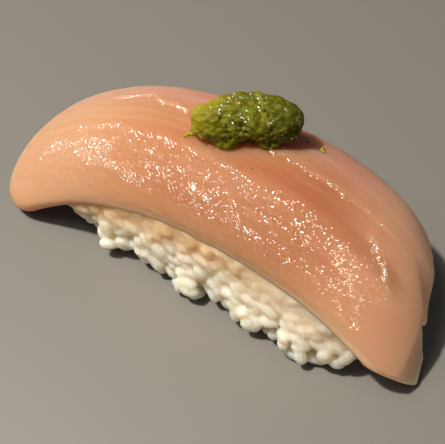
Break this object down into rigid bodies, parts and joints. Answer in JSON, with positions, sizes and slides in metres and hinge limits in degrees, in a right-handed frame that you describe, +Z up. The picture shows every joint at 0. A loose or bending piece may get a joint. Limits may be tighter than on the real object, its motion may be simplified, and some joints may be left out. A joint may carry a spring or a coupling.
{
  "type": "sea bream nigiri",
  "caption": "Nigiri: a hand-pressed block of cooked rice grains under a thick draped slice of pale pink raw fish, with a coarse green paste dollop on its crest.",
  "frame": {"origin": "centre of the part's bounding box in plan, at the level of the rice block's flat foot", "axes": "+X along the slice towards its longer hanging end, +Y across the slice, +Z up out of the plate"},
  "size_m": [0.0912, 0.0334, 0.038],
  "materials": {
    "cooked_rice": "sticky steamed short grains, moist satin, slightly see-through",
    "raw_fish": "wet translucent raw fish with fine pale muscle lines and pinpoint gloss",
    "grated_green_paste": "coarse wet grated paste with small glints"
  },
  "bodies": {
    "root": {"rice_block": "cooked_rice", "fish_slice": "raw_fish", "green_dollop": "grated_green_paste"}
  },
  "joints": []
}
